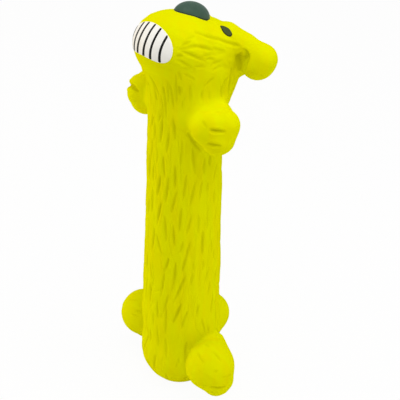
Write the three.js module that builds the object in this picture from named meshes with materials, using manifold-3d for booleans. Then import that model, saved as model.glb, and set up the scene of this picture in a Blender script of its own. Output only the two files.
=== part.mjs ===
// Squeaky dog toy: a hollow moulded latex skin stuffed with fibre, with a reed whistle in its base.
// Millimetres, +Z up, the face towards -Y, the toy's own left side towards +X.
// The origin is the middle of the flat base that the toy stands on.
import * as THREE from "three";
import { mergeVertices } from "three/addons/utils/BufferGeometryUtils.js";
import Module from "manifold-3d";

const wasm = await Module();
wasm.setup();

const point = (x, y, z) => new THREE.Vector3(x, y, z);
const mirrored = (p) => point(-p.x, p.y, p.z);
const radians = THREE.MathUtils.degToRad;

// Skin and fits
const SKIN = 2.4; // wall of the moulded latex
const GAP = 0.3; // clearance between pieces that lie against each other
const PAINT = 0.6; // thickness of the painted teeth and eyes

// Body, a tapering column that rounds under into the rump
const BODY_HEIGHT = 240; // height of the neck, which the head sits on
const BODY_NECK_R = 25; // radius of the column at that height
const BODY_LOW_R = 29;
const BODY_LOW_Z = 60;
const RUMP_R = 29.7;
const RUMP_HALF_HEIGHT = 33.2;
const RUMP_Z = 28.8;
const RUMP_BLEND = 14;

// Nape, from the neck to the back of the head; rises are measured from the body's height
const NAPE_LOW_BACK = 1.6;
const NAPE_LOW_RISE = -7.2;
const NAPE_LOW_R = 26;
const NAPE_TOP_BACK = 9.6;
const NAPE_TOP_RISE = 17.2;
const NAPE_TOP_R = 29.3;

// Chin
const CHIN_FORWARD = 10.9;
const CHIN_RISE = 22.9;
const CHIN_HALF_WIDTH = 23.9;
const CHIN_HALF_DEPTH = 19.8;
const CHIN_HALF_HEIGHT = 22;
const CHIN_BLEND = 14;

// Muzzle
const MUZZLE_FORWARD = 12;
const MUZZLE_RISE = 34.8;
const MUZZLE_HALF_WIDTH = 27.2;
const MUZZLE_HALF_DEPTH = 24.6;
const MUZZLE_HALF_HEIGHT = 20;
const MUZZLE_TILT = 8;
const MUZZLE_BLEND = 10;

// Brow
const BROW_BACK = 15.7;
const BROW_RISE = 30.7;
const BROW_HALF_WIDTH = 26.5;
const BROW_HALF_DEPTH = 23;
const BROW_HALF_HEIGHT = 11.9;
const BROW_TILT = -18;
const BROW_BLEND = 12;

// Ridge from the brow out to each ear's hinge, and jowl under each ear
const RIDGE_OUT = 15.2;
const RIDGE_BACK = 20.7;
const RIDGE_RISE = 37.1;
const RIDGE_R = 9;
const RIDGE_BLEND = 7;
const JOWL_OUT = 26;
const JOWL_BACK = 24;
const JOWL_RISE = 21;
const JOWL_R = 7.5;
const JOWL_BLEND = 8;

// Neck, where the skin folds as the head nods
const NECK_DROP = 15; // nodding axis under the body's height
const NECK_R = 30.3; // radius of the fold about the nodding axis

// Ears, each a short root at its hinge, a bend and a hanging lobe
const EAR_ROOT_R = 8.7;
const EAR_BEND_OUT = 40.7;
const EAR_BEND_BACK = 28.7;
const EAR_BEND_RISE = 27.6;
const EAR_BEND_R = 9;
const EAR_LOBE_OUT = 37.4;
const EAR_LOBE_BACK = 28;
const EAR_LOBE_RISE = 24.2;
const EAR_LOBE_R = 11.2;
const EAR_HINGE_OUT = 27;
const EAR_HINGE_BACK = 24.4;
const EAR_HINGE_RISE = 32.7;
const EAR_LIFT = 18; // degrees that an ear flips up
const EAR_PRESS = 6; // degrees that an ear presses down

// Front paws
const PAW_ROOT_OUT = 20;
const PAW_ROOT_FORWARD = 1;
const PAW_ROOT_DROP = 15;
const PAW_ROOT_R = 14;
const PAW_KNUCKLE_OUT = 36.1;
const PAW_KNUCKLE_FORWARD = 3.6;
const PAW_KNUCKLE_DROP = 13.6;
const PAW_KNUCKLE_R = 14.2;
const PAW_TIP_OUT = 37;
const PAW_TIP_FORWARD = 4.6;
const PAW_TIP_DROP = 20;
const PAW_TIP_R = 11.3;

// Hind feet
const FOOT_ROOT_OUT = 25.1;
const FOOT_ROOT_BACK = 6.1;
const FOOT_ROOT_Z = 27.8;
const FOOT_ROOT_R = 16.9;
const FOOT_KNUCKLE_OUT = 41.2;
const FOOT_KNUCKLE_FORWARD = 4.2;
const FOOT_KNUCKLE_Z = 33.9;
const FOOT_KNUCKLE_R = 17.1;
const FOOT_TIP_OUT = 44.1;
const FOOT_TIP_BACK = 0;
const FOOT_TIP_Z = 21.1;
const FOOT_TIP_R = 13;
const LIMB_BLEND = 6;

// Tail stub
const TAIL_BACK = 28.3;
const TAIL_Z = 43.6;
const TAIL_R = 15;

// Nose dome on the crown of the muzzle
const NOSE_BEHIND_MUZZLE = 14.6;
const NOSE_OVER_MUZZLE = 14.3;
const NOSE_HALF_WIDTH = 9.6;
const NOSE_HALF_DEPTH = 13.8;
const NOSE_HALF_HEIGHT = 9.8;
const NOSE_TILT = -19;

// Grin, measured as angles about the middle of the muzzle
const GRIN_REACH = 54;
const GRIN_LEVEL = 10;
const GRIN_RISE = 38;
const GRIN_DROP = 17;
const GRIN_CORNER_DROP = 1.4; // how much deeper the grin hangs towards its corners

// Eyes, placed by angles about the middle of the head
const EYE_TURN = 129; // degrees from straight ahead
const EYE_LIFT = 34; // degrees above the level
const EYE_LENGTH = 10;
const EYE_WIDTH = 5.2;
const EYE_SLOPE = -25; // degrees that an eye's long axis falls towards the ear

// Press zone on the belly
const BELLY_Z = 132;
const BELLY_HEIGHT = 72;
const BELLY_WIDTH = 34;

// Whistle in the base
const BASE_WALL = 5; // latex round the whistle's neck
const FLANGE_R = 9.5;
const FLANGE_THICK = 1.5;
const BARREL_R = 7;
const BARREL_BORE_R = 5.2;
const BARREL_HEIGHT = 18;
const BARB_R = 8.3;
const BARB_HEIGHT = 2;
const GRILLE_THICK = 1.2;
const SOUND_HOLE_R = 0.8;
const SOUND_HOLE_RING_R = 2.8;
const SOUND_HOLES = 5;
const SEAT_PLUG_HEIGHT = 5;
const SEAT_TONGUE = 8; // length of the tongue under the plug
const SEAT_TONGUE_R = 3.6;
const SEAT_FACE_Y = -1; // flat face that the reed beats on
const CHANNEL_WIDTH = 2.2;
const CHANNEL_DEPTH = 1.2;
const REED_WIDTH = 4.2;
const REED_THICK = 0.4;
const REED_HELD = 3; // length of the reed inside the plug's slot
const REED_SWING = 5; // degrees that the reed lifts off its seat

// Facets
const COLUMN_SIDES = 30;
const RUMP_RINGS = 6;
const STRAIGHT_RINGS = 3;
const HEAD_RINGS = 22;
const HEAD_SIDES = 44;
const LIMB_RINGS = 9;
const LIMB_SIDES = 16;
const ARCH_SEGMENTS = 20;
const TEETH_COLUMNS = 14;
const TEETH_ROWS = 6;
const EYE_CELLS = 6;
const WHISTLE_SIDES = 20;
const SOUND_HOLE_SIDES = 8;
const LIMB_CENTRE = 0.75; // share of the way from root to knuckle where a limb's rings are centred
const SEARCH_STEPS = 40; // halvings that find where a ray leaves a form

// Distance to a ball that changes radius on its way from a to b
function taper(a, b, ra, rb) {
  const axis = b.clone().sub(a);
  const length2 = axis.lengthSq();
  const fall = ra - rb;
  const side2 = length2 - fall * fall;
  return (p) => {
    const from = p.clone().sub(a);
    const along = from.dot(axis);
    const beyond = along - length2;
    const x2 = from.multiplyScalar(length2).sub(axis.clone().multiplyScalar(along)).lengthSq();
    const y2 = along * along * length2;
    const z2 = beyond * beyond * length2;
    const k = Math.sign(fall) * fall * fall * x2;
    if (Math.sign(beyond) * side2 * z2 > k) return Math.sqrt(x2 + z2) / length2 - rb;
    if (Math.sign(along) * side2 * y2 < k) return Math.sqrt(x2 + y2) / length2 - ra;
    return (Math.sqrt((x2 * side2) / length2) + along * fall) / length2 - ra;
  };
}

// Near distance to an ellipsoid that is tipped about X
function egg(centre, radii, tilt = 0) {
  const sideways = point(1, 0, 0);
  return (p) => {
    const q = p.clone().sub(centre).applyAxisAngle(sideways, -radians(tilt)).divide(radii);
    const slope = q.clone().divide(radii).length();
    const size = q.length();
    return slope > 0 ? (size * (size - 1)) / slope : -Math.min(radii.x, radii.y, radii.z);
  };
}

// Joins two forms with a soft fillet of the given width
function soften(f, g, width) {
  return (p) => {
    const a = f(p);
    const b = g(p);
    const h = Math.max(width - Math.abs(a - b), 0) / width;
    return Math.min(a, b) - (h * h * h * width) / 6;
  };
}

// How far a ray from inside a form runs until the form's distance reaches a level
function reach(form, origin, direction, level, far) {
  let near = 0;
  let out = far;
  for (let i = 0; i < SEARCH_STEPS; i++) {
    const mid = (near + out) / 2;
    if (form(origin.clone().addScaledVector(direction, mid)) < level) near = mid;
    else out = mid;
  }
  return (near + out) / 2;
}

// Geometry as a solid that can be joined and cut
function solid(geometry) {
  geometry.deleteAttribute("normal");
  geometry.deleteAttribute("uv");
  const merged = mergeVertices(geometry, 1e-4);
  const vertProperties = new Float32Array(merged.attributes.position.array);
  const triVerts = new Uint32Array(merged.index.array);
  return new wasm.Manifold(new wasm.Mesh({ numProp: 3, vertProperties, triVerts }));
}

// Closed skin round a form at a level of its distance, on rings about a centre inside it
function swell(form, centre, level, rings, sides, far) {
  const positions = [];
  const index = [];
  const add = (polar, turn) => {
    const direction = new THREE.Vector3().setFromSphericalCoords(1, polar, turn);
    direction.set(direction.x, -direction.z, direction.y);
    const p = centre.clone().addScaledVector(direction, reach(form, centre, direction, level, far));
    positions.push(p.x, p.y, p.z);
  };
  add(0, 0);
  for (let i = 1; i < rings; i++) {
    for (let j = 0; j < sides; j++) add((Math.PI * i) / rings, (2 * Math.PI * j) / sides);
  }
  add(Math.PI, 0);
  const last = 1 + (rings - 1) * sides;
  for (let j = 0; j < sides; j++) {
    const next = (j + 1) % sides;
    index.push(0, 1 + j, 1 + next);
    for (let i = 0; i < rings - 2; i++) {
      const a = 1 + i * sides;
      index.push(a + j, a + sides + j, a + sides + next, a + j, a + sides + next, a + next);
    }
    index.push(last, last - sides + next, last - sides + j);
  }
  const geometry = new THREE.BufferGeometry();
  geometry.setAttribute("position", new THREE.BufferAttribute(new Float32Array(positions), 3));
  geometry.setIndex(index);
  return solid(geometry);
}

// Turned solid about Z from a closed profile of radius and height
function turned(profile, sides) {
  const geometry = new THREE.LatheGeometry(profile.map(([r, z]) => new THREE.Vector2(r, z)), sides);
  return solid(geometry.rotateX(Math.PI / 2));
}

// Plate with a level outline in Y and Z, or in X and Z, pulled through the other axis
function slab(shape, axis, from, to) {
  const geometry = new THREE.ExtrudeGeometry(shape, {
    depth: to - from,
    bevelEnabled: false,
    curveSegments: ARCH_SEGMENTS,
  });
  const basis = new THREE.Matrix4();
  if (axis === "x") basis.makeBasis(point(0, 1, 0), point(0, 0, 1), point(1, 0, 0));
  if (axis === "y") basis.makeBasis(point(-1, 0, 0), point(0, 0, 1), point(0, 1, 0));
  geometry.applyMatrix4(basis);
  geometry.translate(axis === "x" ? from : 0, axis === "y" ? from : 0, 0);
  return solid(geometry);
}

function block(x0, x1, y0, y1, z0, z1) {
  const geometry = new THREE.BoxGeometry(x1 - x0, y1 - y0, z1 - z0);
  return solid(geometry.translate((x0 + x1) / 2, (y0 + y1) / 2, (z0 + z1) / 2));
}

function rod(radius, x, y, z0, z1, sides = WHISTLE_SIDES) {
  const geometry = new THREE.CylinderGeometry(radius, radius, z1 - z0, sides);
  return solid(geometry.rotateX(Math.PI / 2).translate(x, y, (z0 + z1) / 2));
}

// Thin plate that lies on a form: a grid of rays, met at two levels of the form's distance
function plate(form, ray, columns, rows, low, high, far) {
  const positions = [];
  const index = [];
  for (const level of [low, high]) {
    for (let j = 0; j <= rows; j++) {
      for (let i = 0; i <= columns; i++) {
        const u = (2 * i) / columns - 1;
        const v = (2 * j) / rows - 1;
        const across = u * Math.sqrt(1 - (v * v) / 2);
        const up = v * Math.sqrt(1 - (u * u) / 2);
        const { origin, direction } = ray(across, up);
        const p = origin.clone().addScaledVector(direction, reach(form, origin, direction, level, far));
        positions.push(p.x, p.y, p.z);
      }
    }
  }
  const width = columns + 1;
  const layer = width * (rows + 1);
  const quad = (a, b, c, d) => index.push(a, b, c, a, c, d);
  for (let j = 0; j < rows; j++) {
    for (let i = 0; i < columns; i++) {
      const a = j * width + i;
      quad(layer + a, layer + a + 1, layer + a + width + 1, layer + a + width);
      quad(a, a + width, a + width + 1, a + 1);
    }
  }
  for (let i = 0; i < columns; i++) {
    const top = rows * width + i;
    quad(i, i + 1, layer + i + 1, layer + i);
    quad(top + 1, top, layer + top, layer + top + 1);
  }
  for (let j = 0; j < rows; j++) {
    const left = j * width;
    const right = left + columns;
    quad(left + width, left, layer + left, layer + left + width);
    quad(right, right + width, layer + right + width, layer + right);
  }
  const geometry = new THREE.BufferGeometry();
  geometry.setAttribute("position", new THREE.BufferAttribute(new Float32Array(positions), 3));
  geometry.setIndex(index);
  return solid(geometry);
}

// Places on the upper part ride on the body's height
const above = (out, back, rise) => point(out, back, BODY_HEIGHT + rise);
const neckZ = BODY_HEIGHT - NECK_DROP;
const napeLow = above(0, NAPE_LOW_BACK, NAPE_LOW_RISE);
const napeTop = above(0, NAPE_TOP_BACK, NAPE_TOP_RISE);
const chin = above(0, -CHIN_FORWARD, CHIN_RISE);
const muzzle = above(0, -MUZZLE_FORWARD, MUZZLE_RISE);
const brow = above(0, BROW_BACK, BROW_RISE);
const noseCentre = muzzle.clone().add(point(0, NOSE_BEHIND_MUZZLE, NOSE_OVER_MUZZLE));
const tailCentre = point(0, TAIL_BACK, TAIL_Z);
const ridgeTop = above(RIDGE_OUT, RIDGE_BACK, RIDGE_RISE);
const jowl = above(JOWL_OUT, JOWL_BACK, JOWL_RISE);
const earHinge = above(EAR_HINGE_OUT, EAR_HINGE_BACK, EAR_HINGE_RISE);
const earParts = {
  root: [earHinge, EAR_ROOT_R],
  knuckle: [above(EAR_BEND_OUT, EAR_BEND_BACK, EAR_BEND_RISE), EAR_BEND_R],
  tip: [above(EAR_LOBE_OUT, EAR_LOBE_BACK, EAR_LOBE_RISE), EAR_LOBE_R],
};
const pawParts = {
  root: [above(PAW_ROOT_OUT, -PAW_ROOT_FORWARD, -PAW_ROOT_DROP), PAW_ROOT_R],
  knuckle: [above(PAW_KNUCKLE_OUT, -PAW_KNUCKLE_FORWARD, -PAW_KNUCKLE_DROP), PAW_KNUCKLE_R],
  tip: [above(PAW_TIP_OUT, -PAW_TIP_FORWARD, -PAW_TIP_DROP), PAW_TIP_R],
};
const footParts = {
  root: [point(FOOT_ROOT_OUT, FOOT_ROOT_BACK, FOOT_ROOT_Z), FOOT_ROOT_R],
  knuckle: [point(FOOT_KNUCKLE_OUT, -FOOT_KNUCKLE_FORWARD, FOOT_KNUCKLE_Z), FOOT_KNUCKLE_R],
  tip: [point(FOOT_TIP_OUT, FOOT_TIP_BACK, FOOT_TIP_Z), FOOT_TIP_R],
};

// The forms, as distances; the column keeps its taper up into the head
const columnTop = BODY_HEIGHT + NECK_R;
const taperShare = (columnTop - BODY_LOW_Z) / (BODY_HEIGHT - BODY_LOW_Z);
const columnTopR = BODY_LOW_R + (BODY_NECK_R - BODY_LOW_R) * taperShare;
const column = taper(point(0, 0, BODY_LOW_Z), point(0, 0, columnTop), BODY_LOW_R, columnTopR);
const rump = egg(point(0, 0, RUMP_Z), point(RUMP_R, RUMP_R, RUMP_HALF_HEIGHT));
const bodyForm = soften(column, rump, RUMP_BLEND);
const nape = taper(napeLow, napeTop, NAPE_LOW_R, NAPE_TOP_R);
const chinEgg = egg(chin, point(CHIN_HALF_WIDTH, CHIN_HALF_DEPTH, CHIN_HALF_HEIGHT));
const muzzleRadii = point(MUZZLE_HALF_WIDTH, MUZZLE_HALF_DEPTH, MUZZLE_HALF_HEIGHT);
const muzzleEgg = egg(muzzle, muzzleRadii, MUZZLE_TILT);
const browEgg = egg(brow, point(BROW_HALF_WIDTH, BROW_HALF_DEPTH, BROW_HALF_HEIGHT), BROW_TILT);
const withMuzzle = soften(soften(nape, chinEgg, CHIN_BLEND), muzzleEgg, MUZZLE_BLEND);
const withBrow = soften(withMuzzle, browEgg, BROW_BLEND);
const leftRidge = taper(ridgeTop, earHinge, RIDGE_R, EAR_ROOT_R + GAP);
const leftJowl = egg(jowl, point(JOWL_R, JOWL_R, JOWL_R));
const bothSides = (form) => (p) => form(point(Math.abs(p.x), p.y, p.z));
const withRidges = soften(withBrow, bothSides(leftRidge), RIDGE_BLEND);
const headForm = soften(withRidges, bothSides(leftJowl), JOWL_BLEND);
const noseForm = egg(noseCentre, point(NOSE_HALF_WIDTH, NOSE_HALF_DEPTH, NOSE_HALF_HEIGHT), NOSE_TILT);
const tailForm = egg(tailCentre, point(TAIL_R, TAIL_R, TAIL_R));

// A limb of two tapers, root to knuckle and knuckle to tip, on the left or the right side
function limbForm(parts, left) {
  const [root, knuckle, tip] = [parts.root, parts.knuckle, parts.tip].map(([place, r]) => ({
    place: left ? place : mirrored(place),
    r,
  }));
  const upper = taper(root.place, knuckle.place, root.r, knuckle.r);
  const lower = taper(knuckle.place, tip.place, knuckle.r, tip.r);
  return soften(upper, lower, LIMB_BLEND);
}

const FAR = 3 * BODY_LOW_R; // further than any form's surface lies from its own centre
const headCentre = napeTop.clone().add(muzzle).multiplyScalar(0.5);
const headSwollen = (level) => swell(headForm, headCentre, level, HEAD_RINGS, HEAD_SIDES, FAR);

// Heights of the column's rings: close together round the rump, wide apart on the straight
function columnHeights(bottom, top) {
  const heights = [];
  for (let i = 0; i < RUMP_RINGS; i++) {
    const share = 1 - Math.cos((Math.PI / 2) * (i / RUMP_RINGS));
    heights.push(bottom + (BODY_LOW_Z - bottom) * share);
  }
  for (let i = 0; i <= STRAIGHT_RINGS; i++) {
    heights.push(BODY_LOW_Z + ((top - BODY_LOW_Z) * i) / STRAIGHT_RINGS);
  }
  return heights;
}

// The column at a level of its distance, flat below at the given height
function columnSwollen(level, bottom, sides) {
  const top = neckZ + NECK_R + GAP;
  const outward = point(1, 0, 0);
  const radiusAt = (z) => reach(bodyForm, point(0, 0, z), outward, level, FAR);
  const wall = columnHeights(bottom, top).map((z) => [radiusAt(z), z]);
  return turned([[0, bottom], ...wall, [0, top]], sides);
}

// Everything under the fold of the neck: an arch about the nodding axis with straight sides below
function underNeck(grow) {
  const r = NECK_R + grow;
  const arch = new THREE.Shape();
  arch.moveTo(-r, -GAP);
  arch.lineTo(r, -GAP);
  arch.lineTo(r, neckZ);
  arch.absarc(0, neckZ, r, 0, Math.PI, false);
  arch.closePath();
  return slab(arch, "x", -FAR, FAR);
}

// Oval that parts the press zone of the belly from the body
function bellyOval(shrink) {
  const oval = new THREE.Shape();
  oval.absellipse(0, BELLY_Z, BELLY_WIDTH / 2 - shrink, BELLY_HEIGHT / 2 - shrink, 0, 2 * Math.PI);
  return slab(oval, "y", -FAR, 0);
}

const flangeSeat = FLANGE_THICK + GAP;
const headGrown = headSwollen(GAP);
const bodyGrown = columnSwollen(GAP, 0, COLUMN_SIDES).add(headGrown);
const bodyHollow = columnSwollen(-SKIN, BASE_WALL, COLUMN_SIDES).add(headSwollen(-SKIN));
const bodyWhole = columnSwollen(0, 0, COLUMN_SIDES).add(headSwollen(0));
const bodySkin = bodyWhole.intersect(underNeck(0)).subtract(bodyHollow);
const whistleHole = rod(BARREL_R + GAP, 0, 0, -GAP, BASE_WALL + GAP);
const flangeRecess = rod(FLANGE_R + GAP, 0, 0, -GAP, flangeSeat);

const bodyShell = () => bodySkin.subtract(bellyOval(0)).subtract(whistleHole).subtract(flangeRecess);
const bellyWall = () => bodySkin.intersect(bellyOval(GAP));
const headShell = () => headSwollen(0).subtract(headSwollen(-SKIN)).subtract(underNeck(GAP));

// The head turned about an ear's hinge, to clear the ear where it flips
function headSeenFromEar(hinge, degrees) {
  const shift = (x, y, z) => new THREE.Matrix4().makeTranslation(x, y, z);
  const turn = shift(hinge.x, hinge.y, hinge.z)
    .multiply(new THREE.Matrix4().makeRotationY(radians(degrees)))
    .multiply(shift(-hinge.x, -hinge.y, -hinge.z));
  return headGrown.transform(turn.elements);
}

function ear(left) {
  const hinge = left ? earHinge : mirrored(earHinge);
  const bend = earParts.knuckle[0];
  const centre = left ? bend : mirrored(bend);
  const up = left ? 1 : -1;
  let lobe = swell(limbForm(earParts, left), centre, 0, LIMB_RINGS, LIMB_SIDES, FAR);
  for (const degrees of [0, EAR_LIFT / 2, EAR_LIFT, -EAR_PRESS]) {
    lobe = lobe.subtract(headSeenFromEar(hinge, up * degrees));
  }
  return lobe;
}

function limb(parts, left) {
  const middle = parts.root[0].clone().lerp(parts.knuckle[0], LIMB_CENTRE);
  const centre = left ? middle : mirrored(middle);
  const whole = swell(limbForm(parts, left), centre, 0, LIMB_RINGS, LIMB_SIDES, FAR);
  return whole.subtract(bodyGrown);
}

const tail = () => swell(tailForm, tailCentre, 0, LIMB_RINGS, LIMB_SIDES, FAR).subtract(bodyGrown);
const nose = () => swell(noseForm, noseCentre, 0, LIMB_RINGS, LIMB_SIDES, FAR).subtract(headGrown);

// Painted teeth: a bean of white that wraps the front of the muzzle
function teeth() {
  const ray = (across, up) => {
    const turn = radians(GRIN_REACH * across);
    const drop = GRIN_DROP * (1 + GRIN_CORNER_DROP * across * across);
    const lift = radians(GRIN_LEVEL + up * (up > 0 ? GRIN_RISE : drop));
    const level = Math.cos(lift);
    const direction = point(Math.sin(turn) * level, -Math.cos(turn) * level, Math.sin(lift));
    return { origin: muzzle, direction };
  };
  return plate(headForm, ray, TEETH_COLUMNS, TEETH_ROWS, GAP, GAP + PAINT, FAR);
}

// Painted eye: an oval on the side of the brow, met by rays along the surface's own slope
function eye(left) {
  const turn = radians(EYE_TURN);
  const lift = radians(EYE_LIFT);
  const level = Math.cos(lift);
  const toEye = point(Math.sin(turn) * level, -Math.cos(turn) * level, Math.sin(lift));
  const centre = headCentre.clone().addScaledVector(toEye, reach(headForm, headCentre, toEye, 0, FAR));
  const slope = (axis) => headForm(centre.clone().add(axis)) - headForm(centre.clone().sub(axis));
  const normal = point(slope(point(1, 0, 0)), slope(point(0, 1, 0)), slope(point(0, 0, 1))).normalize();
  const along = point(1, 0, Math.tan(radians(EYE_SLOPE))).projectOnPlane(normal).normalize();
  const across = normal.clone().cross(along);
  const inside = centre.clone().addScaledVector(normal, -EYE_LENGTH);
  const side = left ? 1 : -1;
  const flip = (p) => (left ? p : mirrored(p));
  const ray = (u, v) => {
    const origin = inside.clone().addScaledVector(along, (side * u * EYE_LENGTH) / 2);
    origin.addScaledVector(across, (v * EYE_WIDTH) / 2);
    return { origin: flip(origin), direction: flip(normal) };
  };
  return plate(headForm, ray, EYE_CELLS, EYE_CELLS, 0, GAP + PAINT, FAR).subtract(headGrown);
}

// Whistle: a flanged barrel pushed into the base, a grille below and a reed on its seat above
const seatTop = BARREL_HEIGHT;
const seatBottom = seatTop - SEAT_PLUG_HEIGHT;
const tongueBottom = seatBottom - SEAT_TONGUE;
const barbBottom = BASE_WALL + GAP;
const plugR = BARREL_BORE_R - GAP;
const reedBack = SEAT_FACE_Y + GAP;
const reedFront = reedBack + REED_THICK;
const reedSweep = REED_HELD * Math.sin(radians(REED_SWING));

function squeakerBarrel() {
  const profile = [
    [BARREL_BORE_R, 0],
    [FLANGE_R, 0],
    [FLANGE_R, FLANGE_THICK],
    [BARREL_R, FLANGE_THICK],
    [BARREL_R, barbBottom],
    [BARB_R, barbBottom],
    [BARREL_R, barbBottom + BARB_HEIGHT],
    [BARREL_R, BARREL_HEIGHT],
    [BARREL_BORE_R, BARREL_HEIGHT],
    [BARREL_BORE_R, 0],
  ];
  return turned(profile, WHISTLE_SIDES);
}

function squeakerGrille() {
  let disc = rod(plugR, 0, 0, 0, GRILLE_THICK);
  for (let i = 0; i < SOUND_HOLES; i++) {
    const turn = (2 * Math.PI * i) / SOUND_HOLES;
    const x = SOUND_HOLE_RING_R * Math.cos(turn);
    const y = SOUND_HOLE_RING_R * Math.sin(turn);
    disc = disc.subtract(rod(SOUND_HOLE_R, x, y, -GAP, GRILLE_THICK + GAP, SOUND_HOLE_SIDES));
  }
  return disc;
}

function squeakerReedSeat() {
  const slotHalf = REED_WIDTH / 2 + GAP;
  const plug = rod(plugR, 0, 0, seatBottom, seatTop);
  const slotBack = reedBack - reedSweep - GAP;
  const slotFront = reedFront + reedSweep + GAP;
  const slot = block(-slotHalf, slotHalf, slotBack, slotFront, seatBottom - GAP, seatTop + GAP);
  const tongueRod = rod(SEAT_TONGUE_R, 0, 0, tongueBottom, seatBottom + GAP);
  const faceCut = block(-FLANGE_R, FLANGE_R, SEAT_FACE_Y, FLANGE_R, tongueBottom - GAP, seatBottom);
  const channelEnd = tongueBottom + CHANNEL_DEPTH;
  const channel = block(
    -CHANNEL_WIDTH / 2,
    CHANNEL_WIDTH / 2,
    SEAT_FACE_Y - CHANNEL_DEPTH,
    FLANGE_R,
    channelEnd,
    seatTop + GAP,
  );
  return plug.add(tongueRod.subtract(faceCut)).subtract(slot).subtract(channel);
}

const squeakerReed = () =>
  block(-REED_WIDTH / 2, REED_WIDTH / 2, reedBack, reedFront, tongueBottom, seatBottom + REED_HELD);

// Stuffing, the shape of the hollow with room for the whistle
function bodyFilling() {
  const whistleRoom = rod(BARB_R + GAP, 0, 0, 0, BARREL_HEIGHT + GAP);
  const low = columnSwollen(-SKIN - GAP, BASE_WALL + GAP, COLUMN_SIDES);
  const fill = low.add(headSwollen(-SKIN - GAP));
  return fill.intersect(underNeck(0)).subtract(whistleRoom);
}

const headFilling = () => headSwollen(-SKIN - GAP).subtract(underNeck(GAP));

const finish = (color, roughness) => new THREE.MeshStandardMaterial({ color, roughness, metalness: 0 });
const latex = finish("#dfe000", 0.55);
const noseBlack = finish("#3c4c47", 0.5);
const toothWhite = finish("#f4f1e6", 0.45);
const eyeBlack = finish("#3a3f2c", 0.45);
const whistlePlastic = finish("#e9e6da", 0.35);
const reedPlastic = finish("#c9a15a", 0.4);
const fibre = finish("#f2f2ee", 0.95);

const toy = new THREE.Group();

// Puts a cut solid into the toy as a named mesh
function place(name, piece, material) {
  const { vertProperties, triVerts } = piece.getMesh();
  const geometry = new THREE.BufferGeometry();
  geometry.setAttribute("position", new THREE.BufferAttribute(vertProperties, 3));
  geometry.setIndex(new THREE.BufferAttribute(triVerts, 1));
  geometry.computeVertexNormals();
  const mesh = new THREE.Mesh(geometry, material);
  mesh.name = name;
  toy.add(mesh);
}

place("body_shell", bodyShell(), latex);
place("belly_wall", bellyWall(), latex);
place("head_shell", headShell(), latex);
for (const side of ["left", "right"]) {
  const left = side === "left";
  place(`ear_${side}`, ear(left), latex);
  place(`paw_${side}`, limb(pawParts, left), latex);
  place(`foot_${side}`, limb(footParts, left), latex);
  place(`eye_${side}`, eye(left), eyeBlack);
}
place("tail", tail(), latex);
place("nose", nose(), noseBlack);
place("teeth", teeth(), toothWhite);
place("squeaker_barrel", squeakerBarrel(), whistlePlastic);
place("squeaker_grille", squeakerGrille(), whistlePlastic);
place("squeaker_reed_seat", squeakerReedSeat(), whistlePlastic);
place("squeaker_reed", squeakerReed(), reedPlastic);
place("body_filling", bodyFilling(), fibre);
place("head_filling", headFilling(), fibre);

export default toy;
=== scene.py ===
import math

import bmesh
import bpy
import numpy as np
from mathutils import Matrix, Vector


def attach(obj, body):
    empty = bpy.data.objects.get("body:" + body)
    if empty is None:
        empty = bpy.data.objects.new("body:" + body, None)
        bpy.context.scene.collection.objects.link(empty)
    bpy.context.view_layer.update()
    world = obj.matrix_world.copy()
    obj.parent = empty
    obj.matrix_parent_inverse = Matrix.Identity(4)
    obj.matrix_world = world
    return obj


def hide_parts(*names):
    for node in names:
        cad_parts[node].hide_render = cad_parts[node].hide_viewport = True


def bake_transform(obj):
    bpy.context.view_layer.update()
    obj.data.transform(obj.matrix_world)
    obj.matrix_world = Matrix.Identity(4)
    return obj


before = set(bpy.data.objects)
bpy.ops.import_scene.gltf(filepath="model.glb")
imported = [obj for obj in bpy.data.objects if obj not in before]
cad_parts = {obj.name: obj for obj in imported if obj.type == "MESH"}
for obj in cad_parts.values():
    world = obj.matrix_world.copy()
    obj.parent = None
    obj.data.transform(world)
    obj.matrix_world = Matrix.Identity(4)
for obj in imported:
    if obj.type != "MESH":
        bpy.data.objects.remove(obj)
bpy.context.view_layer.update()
mm = 0.001  # the forms below are worked out in millimetres and go into the meshes in metres
coarse = 1
print("frame loaded")

# Camera at the photograph's angle
camera = dict(azimuth=50.0, elevation=30.0, roll=-2.0, look=(7.44, 9.0, 155.0), away=673.0, lens=85.5, sensor=36.0)


# Back runs from the look point to the camera; right and up are level and rise, turned by the roll
def makeCamera(c):
    a, e, t = (math.radians(c[k]) for k in ("azimuth", "elevation", "roll"))
    back = Vector((math.sin(a) * math.cos(e), -math.cos(a) * math.cos(e), math.sin(e)))
    level = (-back).cross(Vector((0, 0, 1))).normalized()
    rise = level.cross(-back)
    right = level * math.cos(t) - rise * math.sin(t)
    up = level * math.sin(t) + rise * math.cos(t)
    data = bpy.data.cameras.new("photoCamera")
    data.sensor_width, data.lens = c["sensor"], c["lens"]
    data.clip_start, data.clip_end = 0.01, 50.0
    obj = bpy.data.objects.new("photoCamera", data)
    bpy.context.scene.collection.objects.link(obj)
    turn = Matrix((right, up, back)).transposed().to_4x4()
    obj.matrix_world = Matrix.Translation((Vector(c["look"]) + back * c["away"]) * mm) @ turn
    bpy.context.scene.camera = obj


makeCamera(camera)


# Smooth step from 0 to 1 as x goes from low to high
def ease(x, low, high):
    t = np.clip((x - low) / (high - low), 0, 1)
    return t * t * (3 - 2 * t)


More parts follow.
